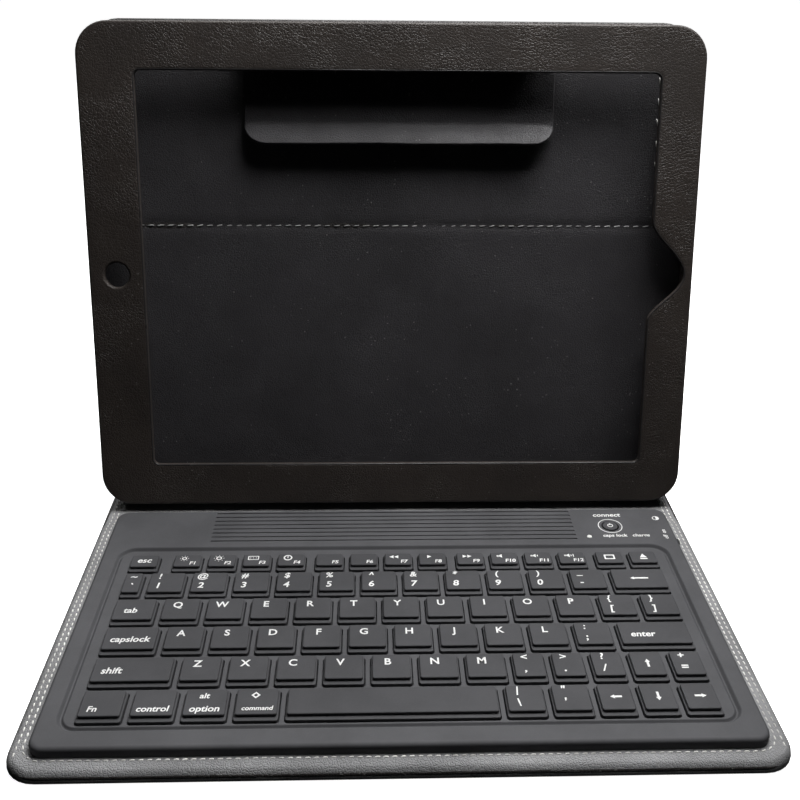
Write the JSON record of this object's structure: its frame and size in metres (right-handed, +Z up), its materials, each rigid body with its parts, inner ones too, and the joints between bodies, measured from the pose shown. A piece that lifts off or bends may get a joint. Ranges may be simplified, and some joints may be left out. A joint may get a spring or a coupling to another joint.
{
  "type": "tablet keyboard case",
  "caption": "Leather folio stand for a tablet with a windowed pocket and a slim silicone keyboard on its base, open for typing.",
  "frame": {"origin": "middle of the base panel's underside, on the table", "axes": "+X to the typist's right, +Y away from the typist, +Z up"},
  "size_m": [0.25, 0.2203, 0.1993],
  "materials": {
    "outer_leather": "fine pebbled grain, satin",
    "border_leather": "fine pebbled grain with two rows of off-white stitching",
    "frame_leather": "fine pebbled grain, warm dark brown-black, soft sheen",
    "lining": "fine pebbled grain, near black, satin",
    "greyboard": "pressed board, matte",
    "silicone": "matte moulded silicone, dark grey",
    "key_silicone": "matte moulded silicone with printed white characters",
    "adhesive": "double-sided film",
    "tray_plastic": "moulded, matte",
    "steel_plate": "plain sheet",
    "membrane": "clear film with printed tracks",
    "circuit_board": "solder mask",
    "chip": "moulded package",
    "battery_foil": "pouch foil",
    "switch_metal": "stamped",
    "socket_metal": "stamped",
    "led": "clear",
    "lens": "frosted light pipe",
    "button_plastic": "moulded, matte"
  },
  "bodies": {
    "base": {"adhesive_pad": "adhesive", "backing_plate": "steel_plate", "base_board": "greyboard", "base_lining": "border_leather", "base_outer_leather": "outer_leather", "battery_cell": "battery_foil", "charging_socket": "socket_metal", "connect_switch": "switch_metal", "controller_board": "circuit_board", "keyboard_skin": "silicone", "keyboard_tray": "tray_plastic", "membrane_circuit": "membrane", "power_switch_body": "switch_metal", "spine_board": "greyboard", "status_led": "led", "status_lens": "lens", "wireless_chip": "chip"},
    "prop_panel": {"prop_outer_leather": "outer_leather", "prop_board": "greyboard", "prop_lining": "lining"},
    "tablet_pocket": {"frame_leather": "frame_leather", "frame_board": "greyboard", "pocket_gusset": "frame_leather", "pocket_back_lining": "lining", "pocket_back_board": "greyboard", "pocket_back_leather": "lining", "upper_back_leather": "outer_leather", "upper_back_board": "greyboard"},
    "tuck_flap": {"tuck_flap": "lining"},
    "connect_button": {"connect_button": "button_plastic"},
    "power_switch_slider": {"power_switch_slider": "button_plastic"},
    "backspace_key": {"backspace_key": "key_silicone"},
    "bottom_punctuation_keys": {"bottom_punctuation_keys": "key_silicone"},
    "caps_lock_key": {"caps_lock_key": "key_silicone"},
    "command_key": {"command_key": "key_silicone"},
    "control_key": {"control_key": "key_silicone"},
    "down_arrow_key": {"down_arrow_key": "key_silicone"},
    "eject_key": {"eject_key": "key_silicone"},
    "enter_key": {"enter_key": "key_silicone"},
    "equals_key": {"equals_key": "key_silicone"},
    "escape_key": {"escape_key": "key_silicone"},
    "fn_key": {"fn_key": "key_silicone"},
    "function_keys_1_to_4": {"function_keys_1_to_4": "key_silicone"},
    "function_keys_5_to_8": {"function_keys_5_to_8": "key_silicone"},
    "function_keys_9_to_12": {"function_keys_9_to_12": "key_silicone"},
    "home_key": {"home_key": "key_silicone"},
    "left_arrow_key": {"left_arrow_key": "key_silicone"},
    "lower_letter_keys": {"lower_letter_keys": "key_silicone"},
    "lower_punctuation_keys": {"lower_punctuation_keys": "key_silicone"},
    "middle_letter_keys": {"middle_letter_keys": "key_silicone"},
    "number_keys": {"number_keys": "key_silicone"},
    "option_key": {"option_key": "key_silicone"},
    "right_arrow_key": {"right_arrow_key": "key_silicone"},
    "right_punctuation_keys": {"right_punctuation_keys": "key_silicone"},
    "shift_key": {"shift_key": "key_silicone"},
    "space_key": {"space_key": "key_silicone"},
    "tab_key": {"tab_key": "key_silicone"},
    "tilde_key": {"tilde_key": "key_silicone"},
    "up_arrow_key": {"up_arrow_key": "key_silicone"},
    "upper_letter_keys": {"upper_letter_keys": "key_silicone"}
  },
  "joints": [
    {"name": "case_fold", "type": "hinge", "parent": "base", "child": "prop_panel", "pos_m": [0, 0.11949, 0.00316], "axis": [-1, 0, 0], "range_deg": [0, 103.5]},
    {"name": "pocket_fold", "type": "hinge", "parent": "prop_panel", "child": "tablet_pocket", "pos_m": [0, 0.09171, 0.11888], "axis": [1, 0, 0], "range_deg": [0, 27.1]},
    {"name": "tuck_flap_fold", "type": "hinge", "parent": "tablet_pocket", "child": "tuck_flap", "pos_m": [0, 0.09729, 0.19889], "axis": [1, 0, 0], "range_deg": [0, 180], "deforming": ["tuck_flap"]},
    {"name": "connect_button_press", "type": "slide", "parent": "base", "child": "connect_button", "axis": [0, 0, -1], "range_m": [0, 0.0004], "stiffness_N_per_m": 400},
    {"name": "power_switch_slide", "type": "slide", "parent": "base", "child": "power_switch_slider", "axis": [0, 1, 0], "range_m": [0, 0.0025]},
    {"name": "typing_backspace_key", "type": "slide", "parent": "base", "child": "backspace_key", "axis": [0, 0, -1], "range_m": [0, 0.0012], "stiffness_N_per_m": 300},
    {"name": "typing_bottom_punctuation_keys", "type": "slide", "parent": "base", "child": "bottom_punctuation_keys", "axis": [0, 0, -1], "range_m": [0, 0.0012], "stiffness_N_per_m": 300},
    {"name": "typing_caps_lock_key", "type": "slide", "parent": "base", "child": "caps_lock_key", "axis": [0, 0, -1], "range_m": [0, 0.0012], "stiffness_N_per_m": 300},
    {"name": "typing_command_key", "type": "slide", "parent": "base", "child": "command_key", "axis": [0, 0, -1], "range_m": [0, 0.0012], "stiffness_N_per_m": 300},
    {"name": "typing_control_key", "type": "slide", "parent": "base", "child": "control_key", "axis": [0, 0, -1], "range_m": [0, 0.0012], "stiffness_N_per_m": 300},
    {"name": "typing_down_arrow_key", "type": "slide", "parent": "base", "child": "down_arrow_key", "axis": [0, 0, -1], "range_m": [0, 0.0012], "stiffness_N_per_m": 300},
    {"name": "typing_eject_key", "type": "slide", "parent": "base", "child": "eject_key", "axis": [0, 0, -1], "range_m": [0, 0.0012], "stiffness_N_per_m": 300},
    {"name": "typing_enter_key", "type": "slide", "parent": "base", "child": "enter_key", "axis": [0, 0, -1], "range_m": [0, 0.0012], "stiffness_N_per_m": 300},
    {"name": "typing_equals_key", "type": "slide", "parent": "base", "child": "equals_key", "axis": [0, 0, -1], "range_m": [0, 0.0012], "stiffness_N_per_m": 300},
    {"name": "typing_escape_key", "type": "slide", "parent": "base", "child": "escape_key", "axis": [0, 0, -1], "range_m": [0, 0.0012], "stiffness_N_per_m": 300},
    {"name": "typing_fn_key", "type": "slide", "parent": "base", "child": "fn_key", "axis": [0, 0, -1], "range_m": [0, 0.0012], "stiffness_N_per_m": 300},
    {"name": "typing_function_keys_1_to_4", "type": "slide", "parent": "base", "child": "function_keys_1_to_4", "axis": [0, 0, -1], "range_m": [0, 0.0012], "stiffness_N_per_m": 300},
    {"name": "typing_function_keys_5_to_8", "type": "slide", "parent": "base", "child": "function_keys_5_to_8", "axis": [0, 0, -1], "range_m": [0, 0.0012], "stiffness_N_per_m": 300},
    {"name": "typing_function_keys_9_to_12", "type": "slide", "parent": "base", "child": "function_keys_9_to_12", "axis": [0, 0, -1], "range_m": [0, 0.0012], "stiffness_N_per_m": 300},
    {"name": "typing_home_key", "type": "slide", "parent": "base", "child": "home_key", "axis": [0, 0, -1], "range_m": [0, 0.0012], "stiffness_N_per_m": 300},
    {"name": "typing_left_arrow_key", "type": "slide", "parent": "base", "child": "left_arrow_key", "axis": [0, 0, -1], "range_m": [0, 0.0012], "stiffness_N_per_m": 300},
    {"name": "typing_lower_letter_keys", "type": "slide", "parent": "base", "child": "lower_letter_keys", "axis": [0, 0, -1], "range_m": [0, 0.0012], "stiffness_N_per_m": 300},
    {"name": "typing_lower_punctuation_keys", "type": "slide", "parent": "base", "child": "lower_punctuation_keys", "axis": [0, 0, -1], "range_m": [0, 0.0012], "stiffness_N_per_m": 300},
    {"name": "typing_middle_letter_keys", "type": "slide", "parent": "base", "child": "middle_letter_keys", "axis": [0, 0, -1], "range_m": [0, 0.0012], "stiffness_N_per_m": 300},
    {"name": "typing_number_keys", "type": "slide", "parent": "base", "child": "number_keys", "axis": [0, 0, -1], "range_m": [0, 0.0012], "stiffness_N_per_m": 300},
    {"name": "typing_option_key", "type": "slide", "parent": "base", "child": "option_key", "axis": [0, 0, -1], "range_m": [0, 0.0012], "stiffness_N_per_m": 300},
    {"name": "typing_right_arrow_key", "type": "slide", "parent": "base", "child": "right_arrow_key", "axis": [0, 0, -1], "range_m": [0, 0.0012], "stiffness_N_per_m": 300},
    {"name": "typing_right_punctuation_keys", "type": "slide", "parent": "base", "child": "right_punctuation_keys", "axis": [0, 0, -1], "range_m": [0, 0.0012], "stiffness_N_per_m": 300},
    {"name": "typing_shift_key", "type": "slide", "parent": "base", "child": "shift_key", "axis": [0, 0, -1], "range_m": [0, 0.0012], "stiffness_N_per_m": 300},
    {"name": "typing_space_key", "type": "slide", "parent": "base", "child": "space_key", "axis": [0, 0, -1], "range_m": [0, 0.0012], "stiffness_N_per_m": 300},
    {"name": "typing_tab_key", "type": "slide", "parent": "base", "child": "tab_key", "axis": [0, 0, -1], "range_m": [0, 0.0012], "stiffness_N_per_m": 300},
    {"name": "typing_tilde_key", "type": "slide", "parent": "base", "child": "tilde_key", "axis": [0, 0, -1], "range_m": [0, 0.0012], "stiffness_N_per_m": 300},
    {"name": "typing_up_arrow_key", "type": "slide", "parent": "base", "child": "up_arrow_key", "axis": [0, 0, -1], "range_m": [0, 0.0012], "stiffness_N_per_m": 300},
    {"name": "typing_upper_letter_keys", "type": "slide", "parent": "base", "child": "upper_letter_keys", "axis": [0, 0, -1], "range_m": [0, 0.0012], "stiffness_N_per_m": 300}
  ],
  "couplings": [
    {"joint": "pocket_fold", "follows": "case_fold", "ratio": 0.26087}
  ]
}
